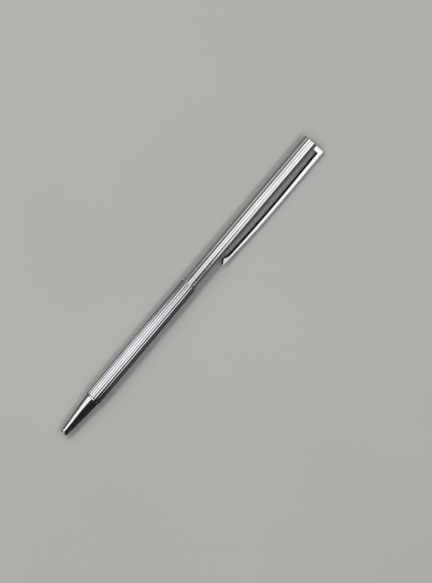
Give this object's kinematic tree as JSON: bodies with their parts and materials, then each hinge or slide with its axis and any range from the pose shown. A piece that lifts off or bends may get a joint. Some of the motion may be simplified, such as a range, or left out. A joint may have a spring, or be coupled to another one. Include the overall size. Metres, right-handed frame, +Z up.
{
  "type": "ballpoint pen",
  "caption": "Slim twist-action ballpoint pen with a tapered nose, fluted barrel and cap and a bent bar clip; turning the cap feeds the refill out through the nose.",
  "frame": {"origin": "middle of the pen's box, on the surface that it lies on", "axes": "+X along the pen from the nose to the crown, +Z up from the surface, -Y towards the clip"},
  "size_m": [0.1376, 0.0092, 0.0061],
  "materials": {
    "polished_chrome": "polished",
    "fluted_chrome": "bright, fluted",
    "brass": "turned",
    "steel": "drawn",
    "nylon": "moulded",
    "rubber": "moulded",
    "ink": "paste"
  },
  "bodies": {
    "barrel": {"nose_cone": "polished_chrome", "barrel_tube": "fluted_chrome", "nose_bush": "brass", "joint_bush": "brass", "centre_ring": "polished_chrome", "mechanism_housing": "brass", "retaining_ring": "steel", "friction_ring": "rubber", "return_spring": "steel"},
    "cap": {"cap_tube": "fluted_chrome", "cap_liner": "nylon", "cam_sleeve": "brass", "crown_bush": "brass", "crown_screw": "polished_chrome", "clip": "polished_chrome"},
    "refill": {"refill_tube": "brass", "refill_tip": "steel", "refill_plug": "nylon", "ink_column": "ink", "follower": "brass", "drive_pin": "steel"},
    "ball": {"writing_ball": "steel"}
  },
  "joints": [
    {"name": "cap_twist", "type": "hinge", "parent": "barrel", "child": "cap", "pos_m": [0, 0.00154, 0.00304], "axis": [-1, 0, 0], "range_deg": [0, 180]},
    {"name": "refill_feed", "type": "slide", "parent": "barrel", "child": "refill", "axis": [-1, 0, 0], "range_m": [0, 0.0045], "deforming": ["return_spring"]},
    {"name": "ball_roll", "type": "hinge", "parent": "refill", "child": "ball", "pos_m": [-0.06713, 0.00154, 0.00304], "axis": [0, 1, 0], "continuous": true}
  ],
  "couplings": [
    {"joint": "cap_twist", "follows": "refill_feed", "rad_per_m": 698.13}
  ]
}
